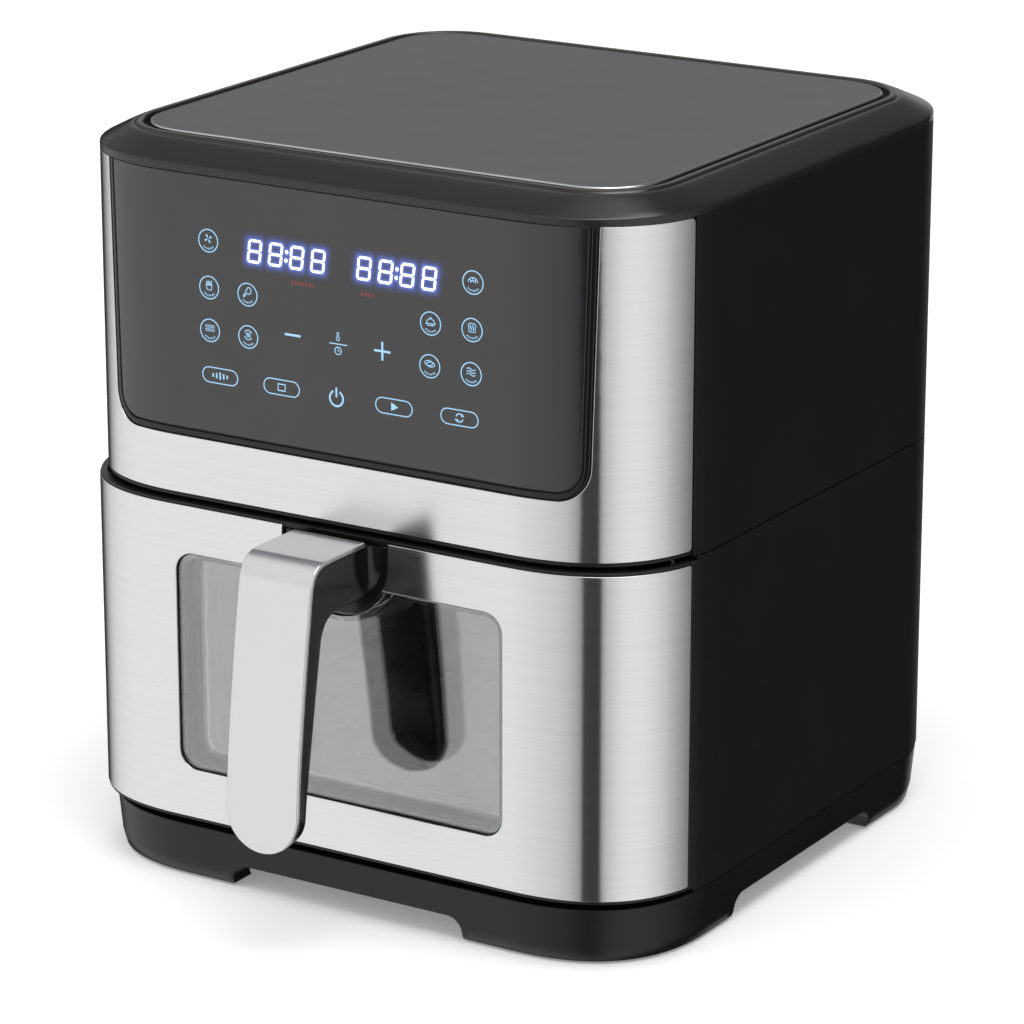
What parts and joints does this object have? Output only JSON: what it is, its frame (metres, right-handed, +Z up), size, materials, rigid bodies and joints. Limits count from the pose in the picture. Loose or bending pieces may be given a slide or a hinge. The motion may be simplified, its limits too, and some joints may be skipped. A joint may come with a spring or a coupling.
{
  "type": "air fryer",
  "caption": "Square rounded countertop air fryer with a pull-out window drawer, vertical handle, lift-out crisper plate, touch display panel and fan-driven top heater.",
  "frame": {"origin": "centre of the overall box in plan, on the worktop under the rubber pads", "axes": "+Z up, -Y is the front with the drawer and handle, +X is the right side seen from behind the handle looking at the back"},
  "size_m": [0.2992, 0.3564, 0.3295],
  "materials": {
    "black_plastic": "fine moulded texture, satin",
    "black_gloss": "smooth, semi gloss",
    "lid_plastic": "satin charcoal",
    "lid_plate": "smooth dark grey with a soft sheen",
    "brushed_steel": "fine horizontal brushing",
    "silver_paint": "satin silver",
    "panel_glass": "tinted touch panel, smooth",
    "window_clear": "clear",
    "nonstick_coat": "dark non-stick coating",
    "liner_metal": "aluminised sheet",
    "element_steel": "dark heat-tinted tube and wire",
    "motor_metal": "laminated steel",
    "zinc_screw": "zinc plated",
    "circuit_board": "green solder mask",
    "display": "lit display blocks",
    "white_plastic": "moulded",
    "rubber": "matt",
    "silicone": "matt"
  },
  "bodies": {
    "housing": {"base_shell": "black_plastic", "rubber_feet": "rubber", "housing_screws": "zinc_screw", "housing_lower": "black_plastic", "housing_upper": "black_plastic", "rear_vent": "black_plastic", "cord_gland": "rubber", "cavity_liner": "liner_metal", "chamber_deck": "liner_metal", "fan_shroud": "liner_metal", "heating_element": "element_steel", "element_guard": "element_steel", "temperature_sensor": "zinc_screw", "motor": "motor_metal", "motor_bracket": "liner_metal", "drawer_switch": "white_plastic", "power_board": "circuit_board", "control_board": "circuit_board", "display_modules": "display", "upper_front_frame": "black_plastic", "upper_steel_wrap": "brushed_steel", "control_bezel": "black_gloss", "control_glass": "panel_glass", "top_cover": "lid_plastic", "top_plate": "lid_plate"},
    "rotor": {"motor_shaft": "zinc_screw", "hot_air_fan": "liner_metal", "fan_nut": "zinc_screw", "cooling_fan": "black_plastic"},
    "drawer": {"drawer_front_frame": "black_plastic", "drawer_steel_skin": "brushed_steel", "window_outer": "window_clear", "window_tunnel": "window_clear", "window_inner": "window_clear", "basket": "nonstick_coat", "basket_screws": "zinc_screw", "handle_mount": "black_gloss", "handle_grip": "black_gloss", "handle_cover": "silver_paint", "handle_screws": "zinc_screw"},
    "crisper": {"crisper_plate": "nonstick_coat", "crisper_bumpers": "silicone"}
  },
  "joints": [
    {"name": "drawer_slide", "type": "slide", "parent": "housing", "child": "drawer", "axis": [0, -1, 0], "range_m": [0, 0.28]},
    {"name": "crisper_lift", "type": "slide", "parent": "drawer", "child": "crisper", "axis": [0, 0, 1], "range_m": [0, 0.128]},
    {"name": "fan_spin", "type": "hinge", "parent": "housing", "child": "rotor", "pos_m": [0, 0.02525, 0.25], "axis": [0, 0, 1], "continuous": true}
  ]
}
